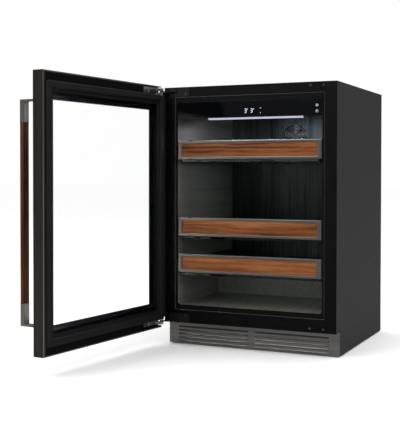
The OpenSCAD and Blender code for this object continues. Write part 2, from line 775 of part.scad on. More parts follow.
module condenser() {
    color("#3c3e40") from_front() {
        for (i = [0:4], y = [cond_y + 8, cond_y + 24])
            rod_x(y, cond_z + 16 + i * 31, tube_r, cond_x[0] + 4, cond_x[1] - 4);
        for (i = [0:14]) block([cond_x[0] + 4 + i * 10, cond_y, cond_z],
            [cond_x[0] + 4.8 + i * 10, cond_y + cond_t - 2, cond_z + cond_h]);
        for (x = [cond_x[0], cond_x[1] - 2]) block([x, cond_y, cond_z - 1.8],
            [x + 2, cond_y + cond_t, cond_z + cond_h]);
        for (z = [cond_z - 1.8, cond_z + cond_h - 1]) block([cond_x[0], cond_y, z],
            [cond_x[1], cond_y + cond_t, z + 1]);
    }
}

module condenser_fan_motor() {
    motor_arm = 90;
    color("#242526") from_front() {
        difference() {
            block([cond_x[0], cond_y + cond_t, cond_z - 1.8],
                [cond_x[1], cond_y + cond_t + 2, cond_z + cond_h]);
            rod_y(cond_mid, fan_z, cond_fan_r + 3, cond_y + cond_t - 1, cond_y + cond_t + 3);
        }
        for (a = [45, 135]) translate([cond_mid, 0, fan_z]) rotate([0, a, 0])
            block([-motor_arm - 4, fan_y + 25, -4], [motor_arm + 4, fan_y + 28, 4]);
        for (a = [45:90:315]) translate([cond_mid + motor_arm * cos(a), 0, fan_z + motor_arm * sin(a)])
            rod_y(0, 0, 4, cond_y + cond_t + 1, fan_y + 28);
        rod_y(cond_mid, fan_z, 24, fan_y + 21, fan_y + 50);
        rod_y(cond_mid, fan_z, 3, fan_y + 2, fan_y + 22);
    }
}

module condenser_fan() {
    color("#1c1c1c") from_front() translate([cond_mid, fan_y, fan_z])
        fan_wheel(cond_fan_r, 22, 18, 5, 3 + pin_clear);
}

module drip_tray() {
    z = comp_z + comp_h;
    color("#c9c9c4") from_front() difference() {
        block([comp_x - 70, comp_y - 60, z], [comp_x + 70, comp_y + 60, z + 14]);
        block([comp_x - 68, comp_y - 58, z + 1.6], [comp_x + 68, comp_y + 58, z + 15]);
    }
}

// copper pipe through the listed points, with round elbows
module pipe(points, r) {
    for (i = [0:len(points) - 2]) {
        run = points[i + 1] - points[i];
        translate(points[i]) rotate([0, acos(run[2] / norm(run)), atan2(run[1], run[0])])
            cylinder(h = norm(run), r = r);
        if (i > 0) translate(points[i]) sphere(r);
    }
}

module refrigerant_lines() {
    top = cond_z + cond_h - 15;
    low = cond_z + 16;
    port = comp_z + 110;
    front = cond_y + 8;
    x_end = cond_x[1];
    dryer_x = x_end + 18;
    dryer_y = bay_y + 160;
    color("#b87548") from_front() {
        pipe([[x_end, front, top], [x_end + 30, front, top], [x_end + 30, front, port],
            [comp_x, front, port], [comp_x, comp_y - comp_r, port]], 3);
        pipe([[x_end, front + 16, low], [dryer_x, front + 16, low],
            [dryer_x, dryer_y, low], [dryer_x, dryer_y, bay_top]], 3);
        translate([dryer_x, dryer_y, low + 34]) cylinder(h = 70, r = 9);
    }
}

module power_inlet() {
    color("#111111") from_front() translate([sx - inlet_side, cover_plane + 1.2, inlet_z]) difference() {
        union() {
            block([-15, -22, -11], [15, 0, 11]);
            block([-25, 0, -14], [25, 1.8, 14]);
        }
        block([-12, -16, -8], [12, 3, 8]);
        for (x = [-20, 20]) rod_y(x, 0, 1.6, -1, 3);
    }
    color("#111111") from_front() translate([sx - inlet_side, cover_plane + 1.2, inlet_z])
        for (x = [-7, 0, 7]) block([x - 0.9, -16, -2.5], [x + 0.9, -3, 2.5]);
}

module rear_cover() {
    x = sx - sheet - fit;
    color("#3b3d3f") from_front() difference() {
        block([-x, cover_plane, floor_gap + 1], [x, cover_plane + 1.2, bay_top - 6 - fit]);
        for (i = [-12:12], k = [0:2]) if (i < 9 || k > 0)
            slab([i * 20 - 3, 76 + k * 32], [i * 20 + 3, 100 + k * 32], 2.9, cover_plane - eps, cab_d);
        translate([sx - inlet_side, cover_plane, inlet_z]) block([-15.3, -eps, -11.3], [15.3, 3, 11.3]);
        for (s = [-1, 0, 1], z = cover_screw_z) rod_y(s * (sx - 14), z, 1.8, cover_plane - eps, cab_d);
    }
}

module rear_screws() {
    color("#9a9a9a") from_front() for (s = [-1, 0, 1], z = cover_screw_z) difference() {
        union() {
            rod_y(s * (sx - 14), z, 3.4, cover_plane + 1.2, cab_d - 0.2);
            rod_y(s * (sx - 14), z, 1.7, cover_plane - 6, cover_plane + 1.2);
        }
        translate([s * (sx - 14), cab_d - 0.9, z]) for (a = [0, 90]) rotate([0, a, 0])
            block([-2, 0, -0.35], [2, 1, 0.35]);
    }
}

module foot(x, y) {
    color("#1a1a1a") from_front() translate([x, y, 0]) {
        cylinder(h = 6, r = foot_r);
        translate([0, 0, 6]) cylinder(h = 4, r = 9, $fn = 6);
        translate([0, 0, 10]) cylinder(h = 24, r = foot_stud_r);
    }
}

module foot_front_left() { foot(-sx + foot_side, feet_y[0]); }
module foot_front_right() { foot(sx - foot_side, feet_y[0]); }
module foot_rear_left() { foot(-sx + foot_side, feet_y[1]); }
module foot_rear_right() { foot(sx - foot_side, feet_y[1]); }

module door_skin() {
    chamfer = bevel * sqrt(2);
    color("#24221f") on_door() difference() {
        door_slab(0, 0, door_out, door_in);
        door_slab(skin_t, skin_t, door_out + skin_t, door_in - rim);
        door_slab(rim, rim, door_out + skin_t, door_in + eps);
        door_pane(face_hinge, face_handle, view_end - 8, door_out - eps, door_in);
        for (s = [-1, 1]) translate([s * sx, door_in, door_bottom - 1]) rotate([0, 0, 45])
            translate([-chamfer / 2, -chamfer / 2, 0])
                cube([chamfer, chamfer, door_top - door_bottom + 2]);
        for (z = [door_bottom, door_top]) translate([-sx - 1, door_in, z]) rotate([45, 0, 0])
            translate([0, -chamfer / 2, -chamfer / 2]) cube([cab_w + 2, chamfer, chamfer]);
        cup_recesses(0);
    }
}

module door_inner_frame() {
    side = skin_t + fit;
    color("#0b0b0c") on_door() difference() {
        union() {
            door_slab(side, side, door_out + skin_t + pane_t + fit, door_in - rim - fit);
            door_slab(rim + fit, rim + fit, door_in - rim - 1, door_in);
        }
        door_slab(seat_side, seat_end, door_out, door_in + eps);
        door_pane(pane_hinge - fit, pane_handle - fit, seat_end - pane_over - fit, door_out,
            inner_pane_y + fit);
        cup_recesses(0);
    }
}

module door_gasket() {
    tall = door_gap - gasket_clear;
    color("#2a2a2c") on_door() {
        door_ring(gasket_side, gasket_end, gasket_side + gasket_w, gasket_end + gasket_w,
            door_in, door_in + 3);
        door_ring(gasket_side + 3, gasket_end + 3, gasket_side + 19, gasket_end + 19,
            door_in + 3, door_in + tall);
    }
}

module door_glass_inner() {
    color([0.1, 0.12, 0.14, 0.4]) on_door()
        door_pane(pane_hinge, pane_handle, seat_end - pane_over, inner_pane_y - pane_t, inner_pane_y);
}

module door_glass_outer() {
    color([0.1, 0.12, 0.14, 0.4]) on_door()
        door_slab(skin_t + 3, skin_t + 3, outer_pane_y - pane_t, outer_pane_y);
}

module glass_spacer() {
    y = [outer_pane_y, inner_pane_y - pane_t];
    color("#30343a") on_door() difference() {
        door_pane(pane_hinge + 1, pane_handle + 5, seat_end - 4, y[0], y[1]);
        door_pane(face_hinge + 1, pane_handle + 15, seat_end + 6, y[0] - eps, y[1] + eps);
    }
}

module handle_bar() {
    half = handle_len / 2;
    color("#2d2a27") on_door() translate([0, 0, handle_mid]) {
        for (s = [-1, 1]) {
            block([bar_x[0], bar_y[0], min(s * half, s * (half - handle_arm))],
                [bar_x[1], door_out, max(s * half, s * (half - handle_arm))]);
            block([bar_x[0], bar_y[0], min(s * grip_len / 2, s * half)],
                [bar_x[1], bar_y[1], max(s * grip_len / 2, s * half)]);
        }
        translate([(bar_x[0] + bar_x[1]) / 2, (bar_y[0] + bar_y[1]) / 2, -grip_len / 2 - 1])
            cylinder(h = grip_len + 2, r = core_r);
    }
}

module handle_grip() {
    g = grip_proud;
    color("#6b3f22") on_door() translate([0, 0, handle_mid - grip_len / 2]) difference() {
        linear_extrude(grip_len) rounded([bar_x[0] - g, bar_y[0] - g], [bar_x[1] + g, bar_y[1] + g], 4.5);
        translate([(bar_x[0] + bar_x[1]) / 2, (bar_y[0] + bar_y[1]) / 2, -1])
            cylinder(h = grip_len + 2, r = core_r);
    }
}

module hinge_cups() {
    floor_y = door_in - cup_depth;
    color("#b9b9ba") on_door() for (i = [0, 1]) {
        z = arm_z[i];
        lo = z - (out_side[i] > 0 ? cup_near : cup_far);
        hi = lo + cup_near + cup_far;
        difference() {
            union() {
                block([-sx + 2, floor_y, lo + 0.4], [-sx + cup_len - 0.4, floor_y + 3, hi - 0.4]);
                block([-sx + 10, floor_y + 3, z - 6.5], [-sx + 60, floor_y + 5.4, z + 6.5]);
                for (v = [-1, 1]) {
                    near = arm_t / 2 + barrel_gap;
                    translate([pin_x, pin_y, z + (v > 0 ? near : -barrel_reach)])
                        cylinder(h = barrel_reach - near, r = barrel_r);
                    block([pin_x - barrel_r * 0.6, floor_y, z + (v > 0 ? near : -barrel_reach)],
                        [-sx + 6, pin_y, z + (v > 0 ? barrel_reach : -near)]);
                }
            }
            translate([pin_x, pin_y, z - barrel_reach - 1])
                cylinder(h = 2 * barrel_reach + 2, r = pin_r + pin_clear);
            for (x = [72, 88]) translate([-sx + x, 0, z]) rotate([-90, 0, 0]) translate([0, 0, floor_y + 2])
                cylinder(h = 3, r = 3.2);
        }
        for (x = [72, 88]) translate([-sx + x, 0, z]) rotate([-90, 0, 0]) translate([0, 0, floor_y + 2])
            cylinder(h = 2.2, r = 3.1);
    }
}

outer_cabinet();
rear_panel();
base_pan();
front_frame();
inner_liner();
insulation();
bay_shield();
kick_grille();
hinge_plates();
hinge_pins();
frame_screws();
control_panel();
control_housing();
control_board();
display();
led_strip();
evaporator_cover();
evaporator_coil();
evaporator_fan_motor();
evaporator_fan();
shelf_rails();
compressor();
compressor_mounts();
start_relay();
condenser();
condenser_fan_motor();
condenser_fan();
drip_tray();
refrigerant_lines();
power_inlet();
rear_cover();
rear_screws();
foot_front_left();
foot_front_right();
foot_rear_left();
foot_rear_right();
for (n = [1, 2, 3]) {
    slide_members(n);
    shelf_frame(n);
    shelf_glass(n);
    shelf_front(n);
    shelf_wood(n);
}
door_skin();
door_inner_frame();
door_gasket();
door_glass_outer();
door_glass_inner();
glass_spacer();
handle_bar();
handle_grip();
hinge_cups();
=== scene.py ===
import json
import math

import bmesh
import bpy
from mathutils import Matrix, Vector


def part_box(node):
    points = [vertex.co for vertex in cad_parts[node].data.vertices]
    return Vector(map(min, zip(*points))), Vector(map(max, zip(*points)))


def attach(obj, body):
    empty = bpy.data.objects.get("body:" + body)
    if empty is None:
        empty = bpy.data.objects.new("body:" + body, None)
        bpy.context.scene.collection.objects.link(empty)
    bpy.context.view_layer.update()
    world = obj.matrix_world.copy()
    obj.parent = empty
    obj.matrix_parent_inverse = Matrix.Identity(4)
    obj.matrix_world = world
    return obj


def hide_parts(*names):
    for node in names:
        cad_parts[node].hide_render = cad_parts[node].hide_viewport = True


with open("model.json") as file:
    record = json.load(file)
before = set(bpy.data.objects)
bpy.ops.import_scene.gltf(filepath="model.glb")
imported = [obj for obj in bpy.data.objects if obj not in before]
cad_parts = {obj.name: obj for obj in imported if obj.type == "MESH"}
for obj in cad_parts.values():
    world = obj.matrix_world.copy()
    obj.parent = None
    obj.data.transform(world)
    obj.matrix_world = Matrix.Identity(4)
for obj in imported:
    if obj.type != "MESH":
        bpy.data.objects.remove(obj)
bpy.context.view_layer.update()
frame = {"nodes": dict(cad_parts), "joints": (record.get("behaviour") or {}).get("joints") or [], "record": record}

MM = 0.001
INSERT_RADIUS = 9 * MM   # corner radius of the tray that holds a wooden insert
INSERT_GAP = 0.6 * MM    # dark joint round a wooden insert
BAR_DEPTH = 15 * MM      # depth of the handle's bar
NODES = frame["nodes"]
RECORD = frame["record"]
SLOT_OF = {part["node"]: part["material_slot"] for part in RECORD["subparts"]}
BODY_OF = {node: body for body, members in RECORD["behaviour"]["bodies"].items() for node in members}


# ---------------------------------------------------------------- camera, world, lights, floor

def make_camera():
    data = bpy.data.cameras.new("camera")
    data.lens = 74.87
    data.sensor_width = 36.0
    data.shift_y = -0.0613
    data.clip_start = 0.05
    data.clip_end = 60.0
    camera = bpy.data.objects.new("camera", data)
    camera.location = (1.08755, -2.97156, 0.5796)
    camera.rotation_euler = (math.radians(88.88), math.radians(-0.05), math.radians(25.02))
    bpy.context.scene.collection.objects.link(camera)
    bpy.context.scene.camera = camera


def area_light(name, place, target, size, power, tint):
    data = bpy.data.lights.new(name, "AREA")
    data.shape = "RECTANGLE"
    data.size, data.size_y = size
    data.energy = power
    data.color = tint
    light = bpy.data.objects.new(name, data)
    light.location = place
    light.rotation_euler = (Vector(target) - Vector(place)).to_track_quat("-Z", "Y").to_euler()
    bpy.context.scene.collection.objects.link(light)
    return light


def make_world():
    """White behind the object and for the floor's light, dimmer in what glossy surfaces mirror."""
    world = bpy.data.worlds.new("studio")
    bpy.context.scene.world = world
    world.use_nodes = True
    tree = world.node_tree
    tree.nodes.clear()
    path = tree.nodes.new("ShaderNodeLightPath")
    mirror = tree.nodes.new("ShaderNodeMix")
    mirror.inputs["A"].default_value = 1.0
    mirror.inputs["B"].default_value = 0.2
    background = tree.nodes.new("ShaderNodeBackground")
    background.inputs["Color"].default_value = (1.0, 1.0, 1.0, 1.0)
    output = tree.nodes.new("ShaderNodeOutputWorld")
    straight = tree.nodes.new("ShaderNodeMath")
    straight.operation = "SUBTRACT"
    straight.use_clamp = True
    tree.links.new(path.outputs["Is Glossy Ray"], straight.inputs[0])
    tree.links.new(path.outputs["Is Transmission Ray"], straight.inputs[1])
    tree.links.new(straight.outputs[0], mirror.inputs["Factor"])
    tree.links.new(mirror.outputs["Result"], background.inputs["Strength"])
    tree.links.new(background.outputs[0], output.inputs[0])


# ---------------------------------------------------------------- materials

class Finish:
    """A material with a Principled shader and short ways to add texture nodes."""

    def __init__(self, name, **values):
        self.material = bpy.data.materials.new(name)
        self.material.use_nodes = True
        self.tree = self.material.node_tree
        self.tree.nodes.clear()
        self.shader = self.tree.nodes.new("ShaderNodeBsdfPrincipled")
        self.output = self.tree.nodes.new("ShaderNodeOutputMaterial")
        self.tree.links.new(self.shader.outputs[0], self.output.inputs["Surface"])
        self.place = self.tree.nodes.new("ShaderNodeTexCoord").outputs["Object"]
        for socket, value in values.items():
            self.shader.inputs[socket.replace("_", " ")].default_value = value

    def link(self, source, socket):
        self.tree.links.new(source, self.shader.inputs[socket])

    def scaled(self, scale, turn=(0.0, 0.0, 0.0)):
        node = self.tree.nodes.new("ShaderNodeMapping")
        node.inputs["Scale"].default_value = scale
        node.inputs["Rotation"].default_value = turn
        self.tree.links.new(self.place, node.inputs["Vector"])
        return node.outputs["Vector"]

    def noise(self, scale, detail=2.0, rough=0.5, vector=None, distortion=0.0):
        node = self.tree.nodes.new("ShaderNodeTexNoise")
        node.inputs["Scale"].default_value = scale
        node.inputs["Detail"].default_value = detail
        node.inputs["Roughness"].default_value = rough
        node.inputs["Distortion"].default_value = distortion
        self.tree.links.new(vector or self.place, node.inputs["Vector"])
        return node.outputs["Fac"]

    def wave(self, scale, distortion, detail, vector, direction="Z", kind="BANDS"):
        node = self.tree.nodes.new("ShaderNodeTexWave")
        node.wave_type = kind
        if kind == "BANDS":
            node.bands_direction = direction
        else:
            node.rings_direction = direction
        node.inputs["Scale"].default_value = scale
        node.inputs["Distortion"].default_value = distortion
        node.inputs["Detail"].default_value = detail
        node.inputs["Detail Scale"].default_value = 1.4
        self.tree.links.new(vector, node.inputs["Vector"])
        return node.outputs["Fac"]

    def cells(self, scale, vector=None):
        node = self.tree.nodes.new("ShaderNodeTexVoronoi")
        node.inputs["Scale"].default_value = scale
        self.tree.links.new(vector or self.place, node.inputs["Vector"])
        return node.outputs["Color"]

    def ramp(self, factor, stops):
        node = self.tree.nodes.new("ShaderNodeValToRGB")
        elements = node.color_ramp.elements
        while len(elements) < len(stops):
            elements.new(0.5)
        for element, (position, colour) in zip(elements, stops):
            element.position = position
            element.color = (*colour, 1.0)
        self.tree.links.new(factor, node.inputs["Fac"])
        return node.outputs["Color"]

    def spread(self, factor, low, high, from_low=0.3, from_high=0.7):
        node = self.tree.nodes.new("ShaderNodeMapRange")
        node.inputs["From Min"].default_value = from_low
        node.inputs["From Max"].default_value = from_high
        node.inputs["To Min"].default_value = low
        node.inputs["To Max"].default_value = high
        self.tree.links.new(factor, node.inputs["Value"])
        return node.outputs["Result"]

    def blend(self, a, b, share=0.5, kind="MIX"):
        node = self.tree.nodes.new("ShaderNodeMix")
        node.data_type = "RGBA"
        node.blend_type = kind
        if isinstance(share, float):
            node.inputs[0].default_value = share
        else:
            self.tree.links.new(share, node.inputs[0])
        self.tree.links.new(a, node.inputs[6])
        self.tree.links.new(b, node.inputs[7])
        return node.outputs[2]

    def relief(self, height, strength, distance):
        node = self.tree.nodes.new("ShaderNodeBump")
        node.inputs["Strength"].default_value = strength
        node.inputs["Distance"].default_value = distance
        self.tree.links.new(height, node.inputs["Height"])
        self.link(node.outputs["Normal"], "Normal")


def coated(name, dark, light, rough, grain=900.0, relief=0.25, depth=0.0003, patch=14.0, **values):
    """Paint or moulded plastic: fine grain in the relief, faint cloudy change in colour and gloss."""
    finish = Finish(name, **values)
    fine = finish.noise(grain, 3.0, 0.6)
    cloud = finish.noise(patch, 3.0, 0.55)
    finish.link(finish.ramp(finish.blend(fine, cloud, 0.45), [(0.3, dark), (0.7, light)]), "Base Color")
    finish.link(finish.spread(cloud, rough - 0.05, rough + 0.05), "Roughness")
    finish.relief(fine, relief, depth)
    return finish.material


def brushed(name, dark, light, rough, along, relief=0.12, **values):
    """Brushed metal with fine lines along one axis and a few longer, wider streaks in the colour; on the back
    cover the wide streaks are painted reflections.
    """
    values.setdefault("Metallic", 1.0)
    finish = Finish(name, **values)
    lines = [900.0, 900.0, 900.0]
    lines["XYZ".index(along)] = 6.0
    streaks = [42.0, 42.0, 42.0]
    streaks["XYZ".index(along)] = 1.1
    fine = finish.noise(1.0, 2.0, 0.6, finish.scaled(lines))
    wide = finish.noise(1.0, 3.0, 0.6, finish.scaled(streaks))
    finish.link(finish.ramp(finish.blend(fine, wide, 0.5), [(0.32, dark), (0.68, light)]), "Base Color")
    finish.link(finish.spread(fine, rough - 0.06, rough + 0.07), "Roughness")
    finish.relief(fine, relief, 0.0002)
    return finish.material


def timber(name, along, tones, scale, rough=0.42, growth=1.0):
    """Oiled walnut: wandering growth lines, darker figure, fine pores along the grain."""
    finish = Finish(name, Specular_IOR_Level=0.2)
    axis = "XYZ".index(along)
    slow, pores, figure = [22.0] * 3, [950.0] * 3, [30.0] * 3
    slow[axis], pores[axis], figure[axis] = 2.6, 22.0, 3.4
    warp = finish.noise(1.0, 3.0, 0.55, finish.scaled(slow), 0.6)
    lines = finish.wave(scale, 9.0 * growth, 3.0, finish.scaled(figure), "Z" if along != "Z" else "X")
    grain = finish.noise(1.0, 2.0, 0.6, finish.scaled(pores))
    body = finish.blend(warp, lines, 0.16)
    tone = finish.ramp(body, tones)
    pore = finish.ramp(grain, [(0.36, (0.45, 0.4, 0.36)), (0.52, (1.0, 1.0, 1.0))])
    finish.link(finish.blend(tone, pore, 0.55, "MULTIPLY"), "Base Color")
    finish.link(finish.spread(grain, rough + 0.12, rough - 0.06), "Roughness")
    finish.relief(grain, 0.18, 0.0003)
    return finish.material


def clear_glass(name, tint, film=30.0, bend=1.47):
    """Clear or tinted glass with a trace of smears that changes its gloss."""
    finish = Finish(name, Transmission_Weight=1.0, IOR=bend)
    smear = finish.noise(film, 4.0, 0.6, None, 0.4)
    lighter = tuple(min(1.0, 1.02 * channel) for channel in tint)
    finish.link(finish.ramp(smear, [(0.35, tint), (0.65, lighter)]), "Base Color")
    finish.link(finish.spread(smear, 0.0, 0.025), "Roughness")
    return finish.material


def lit(name, colour, strength):
    """A lit surface, a little uneven like moulded diffuser plastic."""
    finish = Finish(name, Emission_Strength=strength, Roughness=0.4)
    uneven = finish.noise(260.0, 2.0, 0.5)
    tone = finish.ramp(uneven, [(0.3, tuple(0.9 * c for c in colour)), (0.7, colour)])
    finish.link(tone, "Base Color")
    finish.link(tone, "Emission Color")
    return finish.material


# Wood tones, as (place on the ramp, colour), from the dark figure to the light wood.
WALNUT = [(0.29, (0.075, 0.021, 0.006)), (0.36, (0.185, 0.056, 0.014)), (0.5, (0.275, 0.09, 0.026)),
          (0.74, (0.41, 0.155, 0.055))]
DARK_WALNUT = [(0.3, (0.018, 0.004, 0.001)), (0.5, (0.075, 0.02, 0.006)), (0.72, (0.17, 0.055, 0.017))]


def make_materials():
    look = {}
    look["casing"] = coated("casing", (0.010, 0.0098, 0.0096), (0.044, 0.043, 0.0415), 0.5, 420.0, 0.55,
                            0.0006, 60.0, Specular_IOR_Level=0.35)
    look["rear_steel"] = coated("rear_steel", (0.028, 0.028, 0.028), (0.055, 0.055, 0.054), 0.5)
    look["frame_black"] = coated("frame_black", (0.0007, 0.0007, 0.0008), (0.0026, 0.0026, 0.0028), 0.46,
                                 700.0, 0.2, Specular_IOR_Level=0.16)
    look["door_black"] = coated("door_black", (0.001, 0.001, 0.0012), (0.003, 0.003, 0.0033), 0.42,
                                700.0, 0.15, Specular_IOR_Level=0.12)
    look["hinge_black"] = coated("hinge_black", (0.004, 0.004, 0.004), (0.011, 0.011, 0.011), 0.42, 1100.0,
                                 Specular_IOR_Level=0.25)
    # The bead round the opening: a grey far lighter than the black frame, a painted highlight along the frame's
    # step.
    look["lip"] = coated("lip", (0.035, 0.034, 0.032), (0.07, 0.068, 0.064), 0.3, 900.0, 0.1)
    look["housing_black"] = coated("housing_black", (0.008, 0.008, 0.010), (0.018, 0.018, 0.021), 0.5)
    # Back cover: dark brushed steel; its wide vertical streaks in the base colour are painted reflections of the
    # bottles and walls.
    look["cover_black"] = brushed("cover_black", (0.014, 0.017, 0.017), (0.075, 0.088, 0.082), 0.3, "Z", 0.06)
    look["motor_black"] = coated("motor_black", (0.018, 0.018, 0.02), (0.045, 0.045, 0.047), 0.5)
    look["fan_white"] = coated("fan_white", (0.55, 0.55, 0.52), (0.7, 0.7, 0.66), 0.45, 900.0, 0.1)
    look["fan_black"] = coated("fan_black", (0.012, 0.012, 0.012), (0.03, 0.03, 0.03), 0.5)
    look["compressor_black"] = coated("compressor_black", (0.008, 0.008, 0.009), (0.018, 0.018, 0.019), 0.18,
                                      60.0, 0.15, 0.0008, 9.0)
    look["mount_rubber"] = coated("mount_rubber", (0.018, 0.016, 0.015), (0.04, 0.036, 0.033), 0.75)
    look["relay_plastic"] = coated("relay_plastic", (0.55, 0.52, 0.44), (0.7, 0.66, 0.57), 0.5)
    look["condenser_black"] = coated("condenser_black", (0.03, 0.03, 0.032), (0.07, 0.072, 0.075), 0.5)
    look["tray_plastic"] = coated("tray_plastic", (0.5, 0.5, 0.47), (0.64, 0.64, 0.6), 0.4)
    look["inlet_plastic"] = coated("inlet_plastic", (0.008, 0.008, 0.008), (0.018, 0.018, 0.018), 0.28)
    look["foot_plastic"] = coated("foot_plastic", (0.012, 0.012, 0.012), (0.03, 0.03, 0.03), 0.6)
    look["shelf_black"] = coated("shelf_black", (0.018, 0.019, 0.020), (0.042, 0.043, 0.046), 0.45)
    look["gasket"] = coated("gasket", (0.007, 0.0071, 0.0075), (0.016, 0.016, 0.0168), 0.55, 1500.0, 0.2,
                            0.0002, 22.0, Specular_IOR_Level=0.25)
    look["panel_glass"] = coated("panel_glass", (0.0008, 0.0011, 0.0016), (0.0016, 0.002, 0.0029), 0.09,
                                 40.0, 0.0, 0.0001, 12.0, Specular_IOR_Level=0.3)
    look["galvanised"] = galvanised()
    look["foam"] = foam()
    look["board_green"] = board()
    look["liner"] = brushed("liner", (0.17, 0.16, 0.138), (0.31, 0.295, 0.26), 0.4, "Y", 0.1, Metallic=0.4)
    look["grille"] = brushed("grille", (0.24, 0.235, 0.226), (0.44, 0.43, 0.415), 0.34, "X", 0.2)
    look["front_steel"] = brushed("front_steel", (0.17, 0.157, 0.138), (0.29, 0.27, 0.242), 0.36, "X", 0.2)
    look["door_steel"] = brushed("door_steel", (0.05, 0.045, 0.04), (0.1, 0.092, 0.083), 0.33, "Z", 0.2)
    look["handle_steel"] = brushed("handle_steel", (0.26, 0.24, 0.22), (0.42, 0.395, 0.365), 0.3, "Z", 0.25)
    look["slide_steel"] = brushed("slide_steel", (0.32, 0.33, 0.34), (0.46, 0.47, 0.49), 0.34, "Y")
    look["slide_middle"] = brushed("slide_middle", (0.26, 0.27, 0.28), (0.38, 0.39, 0.41), 0.3, "Y")
    look["spacer"] = brushed("spacer", (0.02, 0.026, 0.038), (0.045, 0.055, 0.075), 0.35, "Z")
    look["fin_aluminium"] = brushed("fin_aluminium", (0.5, 0.52, 0.54), (0.68, 0.7, 0.72), 0.4, "Z")
    look["pin_steel"] = brushed("pin_steel", (0.55, 0.55, 0.55), (0.75, 0.75, 0.75), 0.15, "Z", 0.03)
    look["screw_steel"] = brushed("screw_steel", (0.10, 0.10, 0.10), (0.19, 0.19, 0.19), 0.34, "X", 0.08)
    look["hinge_steel"] = brushed("hinge_steel", (0.5, 0.5, 0.5), (0.72, 0.72, 0.72), 0.2, "X", 0.05)
    look["copper"] = brushed("copper", (0.42, 0.17, 0.08), (0.62, 0.29, 0.16), 0.3, "X", 0.05)
    look["collar"] = brushed("collar", (0.16, 0.15, 0.14), (0.26, 0.245, 0.225), 0.3, "X", 0.15)
    look["walnut"] = timber("walnut", "X", WALNUT, 0.7)
    look["grip_walnut"] = timber("grip_walnut", "Z", DARK_WALNUT, 0.5, 0.36, 0.6)
    look["shelf_glass"] = clear_glass("shelf_glass", (0.72, 0.93, 0.9))
    look["door_glass"] = clear_glass("door_glass", (0.994, 0.996, 0.997), 30.0, 1.06)
    # Lighter warm steel for the strips on the door's bevel: a painted highlight, not a different metal.
    look["painted_highlight_steel"] = brushed("painted_highlight_steel", (0.3, 0.255, 0.21), (0.5, 0.43, 0.36), 0.3, "Z", 0.1)
    look["frit"] = coated("frit", (0.0035, 0.005, 0.007), (0.006, 0.0085, 0.012), 0.12, 1300.0, 0.03)
    look["display_lit"] = lit("display_lit", (0.80, 0.87, 0.95), 0.42)
    look["led"] = lit("led", (0.80, 0.78, 1.0), 0.5)
    return look


def galvanised():
    finish = Finish("galvanised", Metallic=0.9)
    spangle = finish.cells(70.0)
    fine = finish.noise(500.0, 3.0, 0.6)
    finish.link(finish.ramp(spangle, [(0.2, (0.3, 0.31, 0.32)), (0.8, (0.48, 0.49, 0.5))]), "Base Color")
    finish.link(finish.spread(spangle, 0.36, 0.52, 0.0, 1.0), "Roughness")
    finish.relief(fine, 0.1, 0.0003)
    return finish.material


def foam():
    finish = Finish("foam", Roughness=0.95)
    cell = finish.cells(520.0)
    cloud = finish.noise(18.0, 3.0, 0.6)
    tone = finish.ramp(finish.blend(cell, cloud, 0.5), [(0.3, (0.58, 0.46, 0.22)), (0.7, (0.78, 0.68, 0.4))])
    finish.link(tone, "Base Color")
    finish.relief(cell, 0.4, 0.001)
    return finish.material


def board():
    finish = Finish("board_green", Roughness=0.35)
    tracks = finish.cells(240.0)
    tone = finish.ramp(tracks, [(0.4, (0.012, 0.09, 0.04)), (0.6, (0.03, 0.17, 0.08))])
    finish.link(tone, "Base Color")
    finish.relief(tracks, 0.2, 0.0003)
    return finish.material


# ---------------------------------------------------------------- shape helpers

def door_matrix():
    """Takes a point on the closed door to where the door stands at rest."""
    swing = next(joint for joint in frame["joints"] if joint["name"] == "door_swing")
    pivot = Vector(swing["pos_m"])
    turn = Matrix.Rotation(-math.radians(swing["range_deg"][0]), 4, Vector(swing["axis"]))
    return Matrix.Translation(pivot) @ turn @ Matrix.Translation(-pivot)


def closed_box(node):
    """A door node's lowest and highest corners with the door closed."""
    to_closed = door_matrix().inverted()
    points = [to_closed @ vertex.co for vertex in NODES[node].data.vertices]
    low = Vector([min(point[axis] for point in points) for axis in range(3)])
    high = Vector([max(point[axis] for point in points) for axis in range(3)])
    return low, high


def new_piece(name, mesh, body, material, replaced=(), smooth=False):
    """Puts a finished mesh into the scene as a piece that rides on a body."""
    piece = bpy.data.objects.new(name, mesh)
    bpy.context.scene.collection.objects.link(piece)
    mesh.materials.clear()
    mesh.materials.append(material)
    for face in mesh.polygons:
        face.use_smooth = smooth
    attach(piece, body)
    if replaced:
        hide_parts(*replaced)
    return piece


def soften(piece, width, segments=2, angle=38.0):
    """Rounds a piece's sharp edges, by a width in millimetres, and keeps its faces flat."""
    bevel = piece.modifiers.new("edges", "BEVEL")
    bevel.width = width * MM
    bevel.segments = segments
    bevel.limit_method = "ANGLE"
    bevel.angle_limit = math.radians(angle)
    bevel.use_clamp_overlap = True
    bevel.harden_normals = True
    for face in piece.data.polygons:
        face.use_smooth = True


def shade_by_angle(piece, angle=32.0):
    """Smooth shading, kept sharp where faces meet at more than the angle."""
    work = bmesh.new()
    work.from_mesh(piece.data)
    for line in work.edges:
        if len(line.link_faces) == 2:
            line.smooth = line.calc_face_angle() < math.radians(angle)
    for face in work.faces:
        face.smooth = True
    work.to_mesh(piece.data)
    work.free()


def mesh_from(name, points, faces, matrix=Matrix.Identity(4)):
    """A mesh from points and faces, with every face looking outwards."""
    mesh = bpy.data.meshes.new(name)
    mesh.from_pydata([matrix @ Vector(point) for point in points], [], faces)
    mesh.update()
    work = bmesh.new()
    work.from_mesh(mesh)
    bmesh.ops.recalc_face_normals(work, faces=work.faces)
    work.to_mesh(mesh)
    work.free()
    return mesh


def joined(name, meshes):
    """One mesh that holds several."""
    work = bmesh.new()
    for mesh in meshes:
        work.from_mesh(mesh)
    out = bpy.data.meshes.new(name)
    work.to_mesh(out)
    work.free()
    return out


